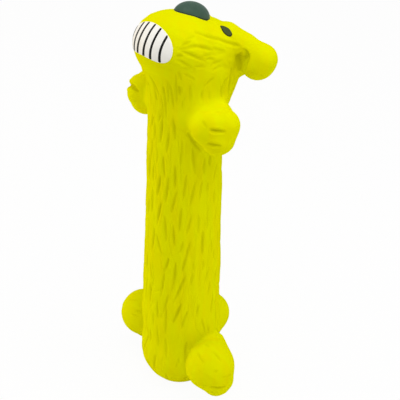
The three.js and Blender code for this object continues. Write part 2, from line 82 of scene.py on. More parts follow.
# Distance to a ball that changes radius from a to b: the two end balls, and between them the cone that touches both
def taper(p, a, b, ra, rb):
    a, axis = np.array(a, float), np.subtract(b, a).astype(float)
    length2, fall = axis @ axis, ra - rb
    side2 = length2 - fall * fall
    off = p - a
    along = off @ axis
    beyond = along - length2
    x2 = ((off * length2 - along[:, None] * axis) ** 2).sum(1)
    y2, z2 = along * along * length2, beyond * beyond * length2
    k = np.sign(fall) * fall * fall * x2
    cone = (np.sqrt(x2 * side2 / length2) + along * fall) / length2 - ra
    low = np.sqrt(x2 + y2) / length2 - ra
    high = np.sqrt(x2 + z2) / length2 - rb
    return np.where(np.sign(beyond) * side2 * z2 > k, high, np.where(np.sign(along) * side2 * y2 < k, low, cone))


# Length of vectors: the root of the sum of squares
def span(v):
    return np.sqrt((v * v).sum(-1))


# Near distance to an ellipsoid tipped about X: its scaled length, times that less one, over its scaled slope
def egg(p, centre, radii, tilt=0.0):
    q = p - np.array(centre, float)
    c, s = math.cos(math.radians(tilt)), math.sin(math.radians(tilt))
    q = np.stack((q[:, 0], c * q[:, 1] + s * q[:, 2], c * q[:, 2] - s * q[:, 1]), 1) / radii
    return span(q) * (span(q) - 1) / np.maximum(span(q / radii), 1e-9)


# Joins two forms with a soft fillet: the lesser distance, less a cubic where the two are nearly the same
def soften(a, b, width):
    h = np.maximum(width - np.abs(a - b), 0) / width
    return np.minimum(a, b) - h * h * h * width / 6


# Lumps in millimetres: tapers by ends and radii, eggs by middle, radii and tilt, with the widths of their fillets
tube = dict(low=(0, 0, 60), top=(0, 0, 240), lowR=29.0, topR=25.0, baseRound=6.0)
lumps = dict(
    rump=(egg, ((0, 0, 28.8), (29.7, 29.7, 33.2)), 14),
    nape=(taper, ((0, 2.6, 232.8), (0, 9.6, 257.2), 26.0, 29.3), 4),
    chin=(egg, ((0, -10.9, 262.9), (23.9, 19.8, 22.0)), 14),
    muzzle=(egg, ((0, -12, 274.8), (27.2, 24.6, 20.0), 8), 10),
    brow=(egg, ((0, 15.7, 270.7), (26.5, 23.0, 11.9), -18), 12),
    ridge=(taper, ((15.2, 20.7, 277.1), (27, 24.4, 272.7), 9.0, 9.0), 7),
    jowl=(egg, ((26, 24, 261), (7.5, 7.5, 7.5)), 8),
)


# Body, neck and head as one soft form, the same on both sides, cut flat at the floor with a rounded edge
def trunk(p):
    side = p * np.where(p[:, :1] < 0, (-1, 1, 1), (1, 1, 1))
    d = taper(p, tube["low"], tube["top"], tube["lowR"], tube["topR"])
    for form, shape, width in lumps.values():
        d = soften(d, form(side, *shape), width)
    return -soften(-d, p[:, 2], tube["baseRound"])


# A limb of two tapers over three balls, root, knuckle and tip, and of more balls where it has them
def limb(p, lump, knuckleBlend=6):
    (*a, ra), (*b, rb), (*c, rc) = lump["balls"]
    d = soften(taper(p, a, b, ra, rb), taper(p, b, c, rb, rc), knuckleBlend)
    for centre, r, width in lump.get("more", ()):
        d = soften(d, egg(p, centre, (r, r, r)), width)
    return d


# Slope of a form from its values at the four corners of a small tetrahedron
def slope(form, p, h=0.04):
    corners = np.array(((1, -1, -1), (-1, -1, 1), (-1, 1, -1), (1, 1, 1)), float)
    return sum(form(p + c * h)[:, None] * c for c in corners) / (4 * h)


# Unit normals of a form: its slope over the slope's length
def normals(form, p):
    g = slope(form, p)
    return g / np.maximum(span(g), 1e-9)[:, None]


# Moves points along the form's slope until its distance is nought
def settle(form, p, rounds=4):
    for _ in range(rounds):
        g = slope(form, p)
        p = p - g * (form(p) / np.maximum((g * g).sum(1), 1e-6))[:, None]
    return p


# How far rays run from inside a form to its skin, by halving
def reach(form, origin, direction, far=80.0, steps=26):
    near, out = np.zeros(len(origin)), np.full(len(origin), far)
    for _ in range(steps):
        mid = (near + out) / 2
        inside = form(origin + direction * mid[:, None]) < 0
        near, out = np.where(inside, mid, near), np.where(inside, out, mid)
    return (near + out) / 2


# Points where rays from inside the trunk, by turn and lift, meet its skin
def castOut(origin, turn, lift):
    direction = np.stack((np.sin(turn) * np.cos(lift), -np.cos(turn) * np.cos(lift), np.sin(lift)), -1).reshape(-1, 3)
    return origin + direction * reach(trunk, origin, direction)[:, None]


# Smooth mesh object from points (mm) and faces, with named values at its points
def makePiece(name, points, faces, **values):
    mesh = bpy.data.meshes.new(name)
    mesh.from_pydata((points * mm).tolist(), [], faces if isinstance(faces, list) else faces.tolist())
    for key, value in values.items():
        mesh.attributes.new(key, "FLOAT", "POINT").data.foreach_set("value", np.asarray(value, np.float32))
    mesh.polygons.foreach_set("use_smooth", np.ones(len(mesh.polygons), bool))
    mesh.update()
    obj = bpy.data.objects.new(name, mesh)
    bpy.context.scene.collection.objects.link(obj)
    return obj


# Quads of a grid of rows by columns, closed round the columns where wrap is set
def gridFaces(rows, columns, wrap):
    r, c = np.meshgrid(np.arange(rows - 1), np.arange(columns if wrap else columns - 1), indexing="ij")
    n = (c + 1) % columns
    quads = np.stack((r * columns + c, r * columns + n, (r + 1) * columns + n, (r + 1) * columns + c), -1)
    return quads.reshape(-1, 4)


# Even turns round the axis, in radians
def turns(columns):
    return np.arange(columns) * 2 * math.pi / columns


# Skin of a form in a box: a point in each crossed lattice cell, at the mean of its edge crossings, and a quad of the
# four cells round each crossed edge
def netSkin(form, low, high, step):
    axes = [np.arange(a, b + step, step) for a, b in zip(low, high)]
    corners = np.stack(np.meshgrid(*axes, indexing="ij"), -1)
    d = form(corners.reshape(-1, 3)).reshape(corners.shape[:3])
    cells = np.array(d.shape) - 1
    total, count = np.zeros((*cells, 3)), np.zeros(cells)
    for axis in range(3):
        for s, t in ((0, 0), (0, 1), (1, 0), (1, 1)):
            near, far = np.roll((0, s, t), axis), np.roll((1, s, t), axis)
            d0, d1 = (d[tuple(slice(k, k + n) for k, n in zip(at, cells))] for at in (near, far))
            crossed = (d0 < 0) != (d1 < 0)
            place = np.broadcast_to(near.astype(float), total.shape).copy()
            place[..., axis] = np.where(crossed, d0 / np.where(crossed, d0 - d1, 1), 0)
            total += place * crossed[..., None]
            count += crossed
    used = count > 0
    number = np.full(cells, -1)
    number[used] = np.arange(used.sum())
    points = (np.argwhere(used) + total[used] / count[used][:, None]) * step + np.array([a[0] for a in axes])
    quads = []
    for axis in range(3):
        order = (axis, (axis + 1) % 3, (axis + 2) % 3)
        dd, nn = np.transpose(d, order), np.transpose(number, order)
        d0, d1 = dd[:-1, 1:-1, 1:-1], dd[1:, 1:-1, 1:-1]
        i, j, k = np.nonzero((d0 < 0) != (d1 < 0))
        ring = np.stack((nn[i, j, k], nn[i, j + 1, k], nn[i, j + 1, k + 1], nn[i, j, k + 1]), 1)
        outward = (d0[i, j, k] < 0)[:, None]
        quads.append(np.where(outward, ring, ring[:, ::-1]))
    return points, np.concatenate(quads)


# Seeded noise: random values on a lattice of cells by rows, which repeats, eased between neighbours
def lattice(u, v, cells, seed, rows=64):
    table = np.random.default_rng(seed).standard_normal((cells, rows))
    i, j = np.floor(u).astype(int), np.floor(v).astype(int)
    f, g = u - i, v - j
    f, g = f * f * (3 - 2 * f), g * g * (3 - 2 * g)
    at = lambda s, t: table[(i + s) % cells, (j + t) % rows]
    return (at(0, 0) * (1 - f) + at(1, 0) * f) * (1 - g) + (at(0, 1) * (1 - f) + at(1, 1) * f) * g


# Fur strokes on the body: lines of points on the skin, each with a half width and a depth
bodyStrokes = dict(
    seed=7, radius=27.0, degreeLength=0.47, heights=(14.0, 262.0), top=258.0, clear=(5.2, 13.0),
    columnGap=6.6, columnShift=(-0.25, 0.25), rowGap=24.0, rowShift=(-5.0, 5.0),
    length=(13.0, 21.0), half=(1.35, 1.8), depth=(0.4, 0.8), lean=(2.0, 8.0), bend=0.8,
    seenStretch=1.3, seenHalf=1.2, seenWiden=0.55, seenBend=1.2,
)

# Strokes that show on the body's left front: turn from the face (degrees), height, length, lean (degrees), depth
seenOnBody = (
    (5, 251, 13, -15, .57), (31, 246, 17, -4, .59), (56, 246, 15, -1, .43), (20, 248, 7, 2, .49),
    (42, 250, 6, -2, .68), (21, 236, 14, -3, .60), (46, 236, 11, 2, .66), (10, 229, 8, 12, .55),
    (-8, 222, 8, 9, .66), (35, 223, 14, -4, .85), (13, 218, 14, 6, .88), (-1, 215, 11, 2, .53),
    (25, 211, 12, 5, .72), (-7, 201, 12, 0, .56), (46, 205, 14, 2, .47), (6, 198, 10, 4, .43),
    (65, 199, 16, -7, .55), (92, 197, 7, 6, .61), (20, 192, 13, -6, .93), (82, 194, 10, 2, .57),
    (106, 186, 10, 14, .52), (38, 187, 14, -1, .89), (-1, 184, 10, 1, .61), (52, 179, 16, 6, .68),
    (11, 177, 13, 7, .95), (26, 176, 16, 6, .78), (78, 176, 12, 9, .49), (65, 175, 16, 11, .62),
    (90, 177, 6, 9, .45), (104, 168, 8, 8, .54), (-3, 162, 14, -1, .53), (37, 167, 14, 12, .76),
    (13, 155, 16, 11, .84), (91, 153, 15, 2, .59), (109, 153, 8, 11, .40), (47, 154, 15, 4, .77),
    (60, 150, 13, 13, .59), (74, 150, 12, 0, .47), (25, 145, 16, -5, .66), (38, 141, 13, -4, .74),
    (82, 134, 15, 0, .75), (14, 131, 12, -20, .65), (100, 129, 9, 2, .55), (57, 124, 21, 12, .70),
    (49, 132, 8, 13, .56), (107, 120, 7, 5, .51), (28, 116, 10, 14, .81), (84, 115, 7, 0, .45),
    (69, 115, 6, -8, .36), (39, 107, 20, 6, .77), (92, 106, 10, 14, .43), (113, 100, 9, 7, .41),
    (66, 105, 9, 7, .49), (22, 98, 17, 6, .61), (49, 97, 20, 19, .77), (96, 93, 10, 7, .52),
    (0, 86, 14, 1, .61), (116, 78, 7, 13, .40), (103, 78, 13, 9, .59), (15, 75, 12, -3, .67),
    (46, 76, 15, 17, .87), (76, 77, 9, 4, .52), (29, 69, 20, 0, .68), (57, 70, 13, 15, .61),
    (8, 65, 9, -1, .43), (-8, 62, 6, -3, .38), (0, 47, 10, 2, .49), (48, 31, 8, 13, .43),
)
strokes = []


# Adds a stroke whose line is first moved onto the skin
def addStroke(line, half, depth):
    strokes.append((settle(trunk, line, 5), half, depth))


# Even draws between the named ends
def draw(rng, f, *names):
    return [rng.uniform(*f[name]) for name in names]


# Points of a short line on the body, turned by its lean and bent by a parabola
def bodyLine(turn, height, length, lean, bend, radius=bodyStrokes["radius"]):
    t = np.linspace(-0.5, 0.5, 7)
    a = turn + (length * t * math.sin(lean) + bend * (0.25 - t * t)) / radius
    z = height + length * t * math.cos(lean)
    return np.stack((radius * np.sin(a), -radius * np.cos(a), z), 1)


# The strokes that show, then seeded ones where none is near, in columns round the body, every other one moved by half
def addBodyStrokes(f):
    rng = np.random.default_rng(f["seed"])
    places = []
    for turn, height, length, lean, depth in seenOnBody:
        bend = rng.normal(0, f["seenBend"])
        line = bodyLine(math.radians(turn), height, length * f["seenStretch"], math.radians(lean), bend)
        addStroke(line, f["seenHalf"] + f["seenWiden"] * depth, depth)
        places.append((turn, height))
    columns = int(2 * math.pi * f["radius"] / f["columnGap"])
    for column in range(columns):
        for z in np.arange(*f["heights"], f["rowGap"]):
            aside, above, length = draw(rng, f, "columnShift", "rowShift", "length")
            turn = 360 * (column + aside) / columns
            height = z + f["rowGap"] * (0.5 * (column % 2)) + above
            lean, bend = math.radians(rng.normal(*f["lean"])), rng.normal(0, f["bend"])
            shape = draw(rng, f, "half", "depth")
            arc = np.array([((turn - t + 180) % 360 - 180) * f["degreeLength"] for t, _ in places])
            high = np.array([height - h for _, h in places])
            taken = (np.abs(arc) < f["clear"][0]) & (np.abs(high) < f["clear"][1])
            if height < f["top"] and not taken.any():
                addStroke(bodyLine(math.radians(turn), height, length, lean, bend), *shape)
                places.append((turn, height))


cheekStrokes = dict(
    seed=8, points=7, side=27.0, stretch=1.9, half=1.15, widen=0.5, depthShare=0.9, bend=(0.5, 0.3),
    backCount=16, backTurn=(100, 260), backHeight=(258, 282), backLength=(6.0, 11.0), backLean=0.3, backLeanR=35,
    backWide=30, backDeep=33, backMiddle=8, backHalf=(1.4, 1.9), backDepth=(0.25, 0.45),
)

# Strokes that show on the left cheek, end to end in y and z, and depth; the right one repeats them
seenOnCheek = (
    (-15, 290, -20, 289, .4), (-19, 286, -24, 285, .6), (-25, 282, -14, 281, .7), (-14, 281, -4, 277, .7),
    (2, 276, 7, 274, .5), (8, 272, 4, 272, .4), (-22, 278, -11, 272, .8), (-29, 276, -26, 276, .8),
    (0, 272, -8, 273, .45), (-1, 269, -5, 270, .5), (-27, 272, -18, 267, .6), (4, 267, -1, 266, .5),
    (-9, 266, -15, 267, .5), (4, 263, 0, 262, .4), (-28, 261, -26, 257, .5), (-21, 260, -16, 258, .5),
    (10, 255, 8, 252, .5), (-1, 256, -5, 253, .5),
)


# Cheek strokes are straight lines drawn out and bent upwards; seeded ones behind lie on an upright oval
def addCheekStrokes(f):
    rng = np.random.default_rng(f["seed"])
    t = np.linspace(0, 1, f["points"])
    along = f["stretch"] * (t - 0.5) + 0.5
    for y0, z0, y1, z1, depth in seenOnCheek:
        bend = 4 * t * (1 - t) * rng.normal(*f["bend"])
        line = np.stack((t * 0 + f["side"], y0 + (y1 - y0) * along, z0 + (z1 - z0) * along + bend), 1)
        for side in (1, -1):
            addStroke(line * (side, 1, 1), f["half"] + f["widen"] * depth, depth * f["depthShare"])
    for _ in range(f["backCount"]):
        turn, z, length = draw(rng, f, "backTurn", "backHeight", "backLength")
        a = np.radians(turn) + (t - 0.5) * length * rng.normal(0, f["backLean"]) / f["backLeanR"]
        y = f["backMiddle"] - f["backDeep"] * np.cos(a)
        line = np.stack((f["backWide"] * np.sin(a), y, z + (t - 0.5) * length), 1)
        addStroke(line, *draw(rng, f, "backHalf", "backDepth"))


neckStrokes = dict(
    seed=9, count=30, shift=(-0.2, 0.2), height=(234.0, 252.0), length=(16.0, 28.0), lean=0.04, bend=1.2,
    half=(1.2, 1.6), depth=(0.35, 0.65),
)


# Long upright grooves that stand side by side round the neck
def addNeckStrokes(f):
    rng = np.random.default_rng(f["seed"])
    for k in range(f["count"]):
        aside, *place = draw(rng, f, "shift", "height", "length")
        turn = 2 * math.pi * (k + aside) / f["count"]
        line = bodyLine(turn, *place, rng.normal(0, f["lean"]), rng.normal(0, f["bend"]))
        addStroke(line, *draw(rng, f, "half", "depth"))


# Folds on both sides: points, half width, depth
folds = dict(
    browFold=(((20.4, -12.2, 288), (22.3, -3.3, 284.2), (22.7, 7.2, 280.1), (29.3, 16.0, 276.3), (33.1, 17.7, 275.4)),
              1.9, 0.9),
    earFold=(((31.0, 17.0, 271.5), (30.8, 17.6, 266.0), (30.4, 19.0, 258.5)), 3.4, 2.2),
    pawFold=(((23.4, -16.5, 226), (23.3, -16.0, 219), (24, -11, 211), (25.1, -5.6, 204.9)), 1.4, 0.7),
)


# A fold's line is its points, joined straight and divided evenly
def addFolds(rows, count=13):
    for line, half, depth in rows.values():
        t = np.linspace(0, len(line) - 1, count)
        even = np.stack([np.interp(t, np.arange(len(line)), np.array(line, float)[:, k]) for k in range(3)], 1)
        for side in (1, -1):
            addStroke(even * (side, 1, 1), half, depth)


addBodyStrokes(bodyStrokes)
addCheekStrokes(cheekStrokes)
addNeckStrokes(neckStrokes)
addFolds(folds)
print("strokes:", len(strokes))

# A stroke's section: its width at the ends, and the height, place and width of its lips, as shares
strokeForm = dict(ends=0.4, lip=0.2, lipAt=1.45, lipHalf=0.5, reach=2)


# Depth of strokes: (1 - t²)², t the distance over the half width, which narrows like a lens to the ends, as does the
# depth; a low lip runs on both sides
def carve(p, lines, s=strokeForm):
    down, lip = np.zeros(len(p)), np.zeros(len(p))
    order = np.argsort(p[:, 2])
    heights = p[order, 2]
    for line, half, depth in lines:
        lo, hi = line.min(0) - half * s["reach"], line.max(0) + half * s["reach"]
        near = order[np.searchsorted(heights, lo[2]):np.searchsorted(heights, hi[2])]
        q = p[near]
        keep = ((q > lo) & (q < hi)).all(1)
        near, q = near[keep], q[keep]
        if not len(q):
            continue
        a, b = line[:-1], line[1:]
        leg = b - a
        share = np.clip(((q[:, None] - a) * leg).sum(2) / (leg * leg).sum(1), 0, 1)
        gap2 = ((q[:, None] - a - leg * share[..., None]) ** 2).sum(2)
        best = gap2.argmin(1)
        rows = np.arange(len(q))
        along = (best + share[rows, best]) / len(leg)
        lens = np.sqrt(np.clip(4 * along * (1 - along), 0, 1))
        t = np.sqrt(gap2[rows, best]) / (half * (s["ends"] + (1 - s["ends"]) * lens))
        full = depth * lens
        down[near] = np.maximum(down[near], full * np.clip(1 - t * t, 0, 1) ** 2)
        hump = np.clip(1 - ((t - s["lipAt"]) / s["lipHalf"]) ** 2, 0, 1) ** 2
        lip[near] = np.maximum(lip[near], s["lip"] * full * hump)
    return down, lip


# Heights of the relief, and the values of its noises in the order that roundNoise and flowNoise take them
relief = dict(
    uprightHeight=0.22, grainHeight=0.4, flowHeight=0.15, broadHeight=0.14, grainWidth=0.2, cheekGrain=0.7,
    cheekFrom=(250, 262), lipClear=0.3, fullDepth=0.9,
    broad=(9, 34, 2, 12, 0), upright=(48, 21, 2, 11, 0.8), wander=(30, 27, 5, 15, 0.9),
    flow=(0.4, 2.8, 14, 8, 14, 0), sweep=(0.45, 5.5, 22, 8, 16, 0.5),
)


# Noise in upright cells round the body
def roundNoise(p, broad, cells, tall, start, seed, sway):
    around = np.arctan2(p[:, 0], -p[:, 1]) / (2 * math.pi) % 1
    return lattice(around * cells + sway * broad, p[:, 2] / tall + start, cells, seed)


# Noise in long cells that lean and flow back along the cheeks
def flowNoise(p, broad, lean, wide, long, start, seed, sway, cells=64):
    across = (p[:, 2] + lean * p[:, 1]) / wide + sway * broad
    return lattice(across, p[:, 1] / long + start, cells, seed)


# Relief at points: strokes, ridges, grooves where a noise is near nothing, broad unevenness; also the depth in
# strokes, which sets the painted shade in the latex
def furRelief(p, lines, ridge=1.0, n=relief):
    down, lip = carve(p, lines)
    broad = roundNoise(p, 0, *n["broad"])
    groove = lambda noise: np.exp(-(noise / n["grainWidth"]) ** 2) * n["grainHeight"]
    body = roundNoise(p, broad, *n["upright"]) * n["uprightHeight"] - groove(roundNoise(p, broad, *n["wander"]))
    cheek = flowNoise(p, broad, *n["flow"]) * n["flowHeight"]
    cheek = cheek - groove(flowNoise(p, broad, *n["sweep"])) * n["cheekGrain"]
    high = ease(p[:, 2], *n["cheekFrom"])
    low = body * (1 - high) + cheek * high + broad * n["broadHeight"]
    rise = ridge * low - down + lip * np.clip(1 - down / n["lipClear"], 0, 1)
    return rise, np.clip(down / n["fullDepth"], 0, 1)


# Grin: a bean of paint, by angles about the muzzle's middle; black lines stand in planes across the face
grin = dict(
    centre=(0, -12, 274.8), reach=52.8, level=10.0, rise=38.0, drop=17.0, cornerDrop=1.4, columns=260, rows=130,
    thick=0.32, thickAt=0.03, sink=0.25, sinkAt=0.02,
    lines=(-16.9, -9.8, -4.3, 2.1, 7.8, 14.0), lineHalf=0.97, lineTaper=0.2, lineSide=0.018, lineDepth=0.1,
    lineEnd=(0.015, 0.06), lineLeast=0.05, inkFade=(0.75, 1.25), topBend=0.7, topFrom=0.2,
)
eye = dict(
    centre=(20.1, 15.0, 283.4), length=11.0, width=4.9, slope=-25.0, lean=0.14, point=0.54, rows=24, columns=72,
    firstRing=0.02, thick=0.4, thickAt=0.1, sink=0.2, sinkAt=0.05, rim=(0.1, 0.24),
)


# Share of the way to the grin's edge: both angles over their reach, as sides of a right triangle
def grinShare(p, g):
    q = p - np.array(g["centre"], float)
    across = np.degrees(np.arctan2(q[:, 0], -q[:, 1])) / g["reach"]
    up = np.degrees(np.arctan2(q[:, 2], np.sqrt(q[:, 0] ** 2 + q[:, 1] ** 2))) - g["level"]
    up = up / np.where(up > 0, g["rise"], g["drop"] * (1 + g["cornerDrop"] * np.minimum(across ** 2, 1)))
    return np.sqrt(across ** 2 + up ** 2)


# Body and head on one grid of turns and rows, the whistle's recess below, and where the relief fades out
skin = dict(
    columns=432, baseRows=34, baseFrom=20.0, baseR=10.2, bodyStep=1.1, bodyTop=205.0, neckStep=0.62, neckTop=243.0,
    crownRows=110, crown=(0.0, 3.0, 266.0), crownRush=1.6, crownEase=0.8,
    recessIn=7.2, recessR=9.8, recess=1.8, recessLip=0.3,
    floorFade=(1.5, 12.0), noseFade=(-293.0, -288.0), grinFade=(1.0, 1.12), eyeFade=(4.5, 7.0),
)


# Lift, height and setback of rays from the axis, row by row: a fan down to the base, level rows, a fan over the crown
def skinRays(s):
    steepest = -90 + math.degrees(math.atan(s["baseR"] / s["baseFrom"]))
    down = np.radians(np.linspace(steepest, 0, s["baseRows"] // coarse, endpoint=False))
    straight = np.arange(s["baseFrom"], s["bodyTop"], s["bodyStep"] * coarse)
    throat = np.arange(s["bodyTop"], s["neckTop"], s["neckStep"] * coarse)
    t = np.linspace(0, 1, s["crownRows"] // coarse + 1)[:-1]
    climb = (s["crown"][2] - s["neckTop"]) * np.minimum(1, s["crownRush"] * t) ** s["crownEase"]
    lift = np.concatenate((down, straight * 0, throat * 0, t * math.pi / 2))
    rise = np.concatenate((down * 0 + s["baseFrom"], straight, throat, s["neckTop"] + climb))
    back = np.concatenate((down * 0, straight * 0, throat * 0, s["crown"][1] * t))
    return lift, rise, back, len(down) + len(straight)


# The grid's points, where the rays meet the trunk, raised by the relief; their depth in strokes; the head's first row
def makeSkin(s):
    lift, rise, back, split = skinRays(s)
    columns = s["columns"] // coarse
    lift, turn = np.meshgrid(lift, turns(columns), indexing="ij")
    p = castOut(np.stack((np.zeros_like(rise), back, rise), 1).repeat(columns, 0), turn, lift)
    up = normals(trunk, p)
    raised, sunk = furRelief(p, strokes)
    fade = ease(p[:, 2], *s["floorFade"]) * ease(-p[:, 2], *s["noseFade"]) * ease(grinShare(p, grin), *s["grinFade"])
    for side in (1, -1):
        fade = fade * ease(span(p - np.array(eye["centre"]) * (side, 1, 1)), *s["eyeFade"])
    p = p + up * (raised * fade)[:, None]
    rows = len(p) // columns
    return p.reshape(rows, columns, 3), (sunk * fade).reshape(rows, columns), split


# Normals of a closed grid: the slope across the columns crossed with the slope along the rows
def gridNormals(grid):
    along = np.gradient(grid, axis=0)
    across = np.roll(grid, -1, 1) - np.roll(grid, 1, 1)
    n = np.cross(across, along)
    return n / np.maximum(span(n), 1e-12)[..., None]


grid, deep, split = makeSkin(skin)
gridUp = gridNormals(grid)
columns = grid.shape[1]

# Body: the recess of the whistle's flange, then the grid's rows up to the split
ring = np.stack((np.sin(turns(columns)), -np.cos(turns(columns)), np.zeros(columns)), 1)
recessPath = (("recessIn", "recess"), ("recessR", "recess"), ("recessR", "recessLip"))
bodyRows = np.concatenate(([ring * skin[r] + (0, 0, skin[z]) for r, z in recessPath], grid[:split + 1]))
bodyDeep = np.concatenate((np.zeros((len(recessPath), columns)), deep[:split + 1]))
bodyFaces = gridFaces(len(bodyRows), columns, True)
bodySkin = makePiece("bodySkin", bodyRows.reshape(-1, 3), bodyFaces, groove=bodyDeep.ravel())

# Head and neck: the rows above the split, closed by a fan over the crown, which the nose covers
headRows = grid[split:]
crown = np.array([skin["crown"]])
pole = crown + (0, 0, reach(trunk, crown, np.array([[0.0, 0, 1]]))[0])
headPoints = np.concatenate((headRows.reshape(-1, 3), pole))
last = (len(headRows) - 1) * columns
fan = [(last + c, last + (c + 1) % columns, len(headPoints) - 1) for c in range(columns)]
headFaces = gridFaces(len(headRows), columns, True).tolist() + fan
headSkin = makePiece("headSkin", headPoints, headFaces, groove=np.append(deep[split:].ravel(), 0))

# Both get the whole grid's normals, so that no line shows where they meet
recessUp = np.tile((0.0, 0, -1), (len(recessPath), columns, 1))
bodyUp = np.concatenate((recessUp, gridUp[:split + 1])).reshape(-1, 3)
headUp = np.concatenate((gridUp[split:].reshape(-1, 3), [(0, 0, 1)]))
bodySkin.data.normals_split_custom_set_from_vertices(bodyUp.tolist())
headSkin.data.normals_split_custom_set_from_vertices(headUp.tolist())
print("body and head:", len(bodySkin.data.polygons), len(headSkin.data.polygons), "faces")

# Limbs, ears and tail: balls as x, y, z and radius, a fillet to the trunk, and lines as points, half width and depth
pawUpper = ((43.6, -15.7, 231.4), (46.2, -11.5, 230.0), (49.3, -6.9, 229.5))
footSole = (((54.0, -15.4, 28.0), (56.8, -9.0, 25.3), (57.5, -1.8, 23.0)), 2.0, 1.1)
limbs = dict(
    ear=dict(
        balls=((27, 24.4, 272.7, 8.7), (40.7, 28.7, 267.6, 9.0), (37.4, 28, 264.2, 11.2)),
        blend=(2.5, 3.2), blendAt=(260, 272), pocket=((35.3, 16.4, 270), (34.3, 17.2, 258), 5.0, 2.6), pocketBlend=2,
        step=0.6, lines=()),
    paw=dict(
        balls=((20, -1, 226, 12.5), (40.2, -0.7, 229.0, 9.6), (39, -4.2, 220.2, 11.3)),
        more=(((35, -11, 226.9), 10.0, 5), ((38.1, -10.3, 232.0), 7.4, 5), ((31, 5, 232), 6.5, 8)),
        blend=(2.5, 13.0), blendAt=(214, 230), front=(8.0, 2, 14), step=0.7,
        lines=(((pawUpper[0], (44.9, -13.8, 230.7), *pawUpper[1:]), 1.9, 1.3),
            (((42.4, -16.6, 220.9), (44.5, -15.0, 220.6), (46.3, -13.3, 220.5), (48.8, -9.5, 220.2)), 1.8, 1.0),
            (((38.2, -17.3, 236.1), (40.2, -17.4, 234.5), (42.4, -16.7, 232.7)), 1.5, 0.4)),
        farLines=((((27.9, -18.9, 232.7), (30.7, -19.8, 233.0), (33.4, -19.5, 233.8), (36.4, -19.1, 233.9),
            (40.5, -17.8, 232.8), *pawUpper), 2.4, 2.0),
            (((42.4, -16.6, 220.9), (46.3, -13.3, 220.5), (48.8, -9.5, 220.2)), 1.8, 1.0))),
    foot=dict(
        balls=((29.8, 11.9, 43.4, 4.4), (41.2, -4.2, 33.9, 17.2), (44.1, 0, 21.1, 13.0)),
        more=(((29, 9, 28.5), 11.5, 16),),
        blend=(1.5, 16.0), blendAt=(38, 58), blendBack=(-9, 7), step=0.75,
        lines=(footSole,
            (((38.4, -13.9, 48.0), (44.1, -15.1, 47.1), (48.4, -15.3, 45.2)), 1.5, 0.5),
            (((45.7, -6.2, 50.6), (50.2, -5.6, 48.7), (53.8, -4.9, 45.9)), 1.5, 0.45),
            (((54.5, -12.3, 41.7), (56.1, -10.1, 40.5)), 1.5, 0.4),
            (((58.2, -7.2, 36.0), (57.6, 1.4, 32.8)), 1.5, 0.45),
            (((35.9, -5.3, 50.4), (41.2, -6.5, 51.2)), 1.4, 0.3)),
        farLines=(footSole,
            (((35.3, -17.0, 44.1), (32.6, -15.6, 43.8), (30.1, -14.0, 43.0)), 1.4, 0.45),
            (((37.6, -19.7, 41.0), (34.0, -18.4, 40.9), (31.3, -17.0, 40.2)), 1.4, 0.4),
            (((47.0, -14.8, 46.4), (41.8, -13.7, 48.5), (37.3, -12.1, 48.9)), 1.4, 0.3))),
    tail=dict(
        balls=((0, 24, 43.6, 15.0), (0, 28.3, 43.6, 15.0), (0, 28.31, 43.6, 15.0)),
        blend=(12.0, 12.8), blendAt=(30, 60), step=0.75, lines=()),
)

# A limb's edge: how far past the fillet and under the trunk it is kept, where its relief fades, how deep it sinks
limbEdge = dict(spare=4, keep=1.8, under=-0.5, reliefFade=(-4.0, 0.0), sink=0.35, sinkFrom=(-0.6, 1.4))


# Width of a limb's fillet: it grows between two heights, on a foot to the back only, and is wider at a paw's front
def filletWidth(p, lump):
    share = ease(p[:, 2], *lump["blendAt"])
    if "blendBack" in lump:
        share = share * ease(p[:, 1], *lump["blendBack"])
    more = lump["front"][0] * ease(-p[:, 1], *lump["front"][1:]) if "front" in lump else 0
    low, high = lump["blend"]
    return low + (high - low + more) * share


# The trunk and a limb joined by its fillet, less the pocket in front of an ear
def withLimb(p, lump):
    d = soften(trunk(p), limb(p, lump), filletWidth(p, lump))
    if "pocket" in lump:
        d = -soften(-d, taper(p, *lump["pocket"]), lump["pocketBlend"])
    return d


# A limb's skin: the joined form, kept where the limb or its fillet is, its edge sunk a little under the trunk's skin
def makeLimb(lump, lines, e=limbEdge):
    whole = lambda p: withLimb(p, lump)
    balls = np.array(lump["balls"], float)
    ends, radii = balls[:, :3], balls[:, 3:]
    margin = lump["blend"][1] + lump.get("front", (0,))[0] + e["spare"]
    p, quads = netSkin(whole, (ends - radii).min(0) - margin, (ends + radii).max(0) + margin, lump["step"] * coarse)
    p = settle(whole, p, 3)
    apart = limb(p, lump) - filletWidth(p, lump)
    keep = (apart[quads] < e["keep"]).all(1) & (trunk(p)[quads] > e["under"]).all(1)
    used, quads = np.unique(quads[keep], return_inverse=True)
    p, quads, apart = p[used], quads.reshape(-1, 4), apart[used]
    own = [(settle(whole, np.array(line, float), 5), half, depth) for line, half, depth in lines]
    rise, sunk = furRelief(p, strokes + own, ease(apart, *e["reliefFade"]))
    rise = rise * ease(p[:, 2], *skin["floorFade"]) - e["sink"] * ease(apart, *e["sinkFrom"])
    return p + normals(whole, p) * rise[:, None], quads, sunk


limbPieces = {}
for name, lump in limbs.items():
    p, quads, sunk = makeLimb(lump, lump["lines"])
    print(name, len(quads), "faces")
    if name == "tail":
        limbPieces["tailStub"] = makePiece("tailStub", p, quads, groove=sunk)
        continue
    limbPieces[name + "Left"] = makePiece(name + "Left", p, quads, groove=sunk)
    if "farLines" in lump:
        p, quads, sunk = makeLimb(lump, lump["farLines"])
    limbPieces[name + "Right"] = makePiece(name + "Right", p * (-1, 1, 1), quads[:, ::-1], groove=sunk)

nose = dict(
    centre=(0, 2.6, 289.1), radii=(9.6, 13.8, 9.8), tilt=-19, fall=(1.0, 118), rimHeight=1.2, rows=48, columns=96,
)


